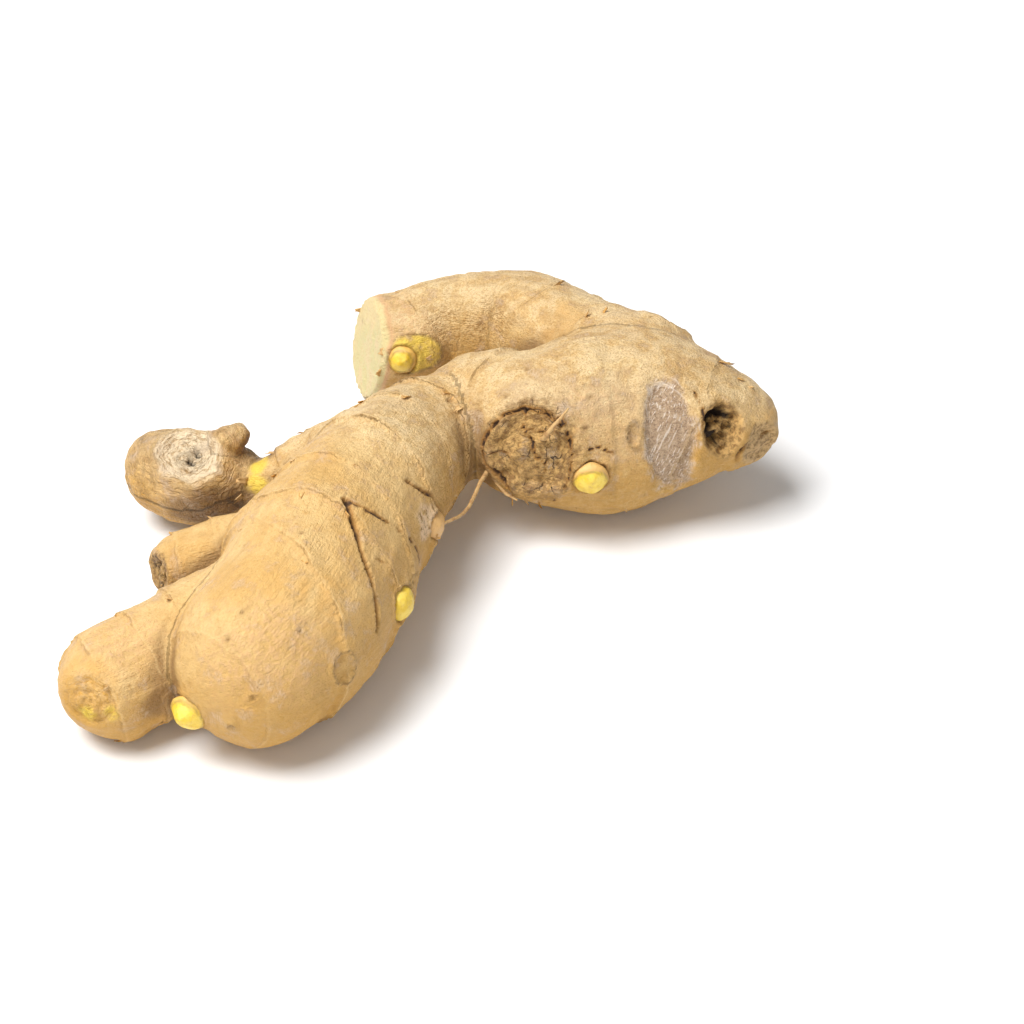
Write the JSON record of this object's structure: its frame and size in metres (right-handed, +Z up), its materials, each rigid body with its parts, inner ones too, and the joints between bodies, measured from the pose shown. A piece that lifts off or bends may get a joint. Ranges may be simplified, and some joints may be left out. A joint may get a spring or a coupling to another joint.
{
  "type": "fresh ginger rhizome",
  "caption": "Whole fresh ginger rhizome with stubby branching fingers, leaf rings, buds, corky scars and a cut finger end, lying on a table.",
  "frame": {"origin": "bottom centre of the box around the rhizome, on the table that it lies on", "axes": "+Z up; +X along the thick knuckle towards its nose; -Y towards the two toes"},
  "size_m": [0.1404, 0.1384, 0.0385],
  "materials": {
    "ginger_skin": "dull papery tan skin with paler patches, yellow buds and grey-brown corky scars"
  },
  "bodies": {
    "root": {"ginger_rhizome": "ginger_skin"}
  },
  "joints": []
}
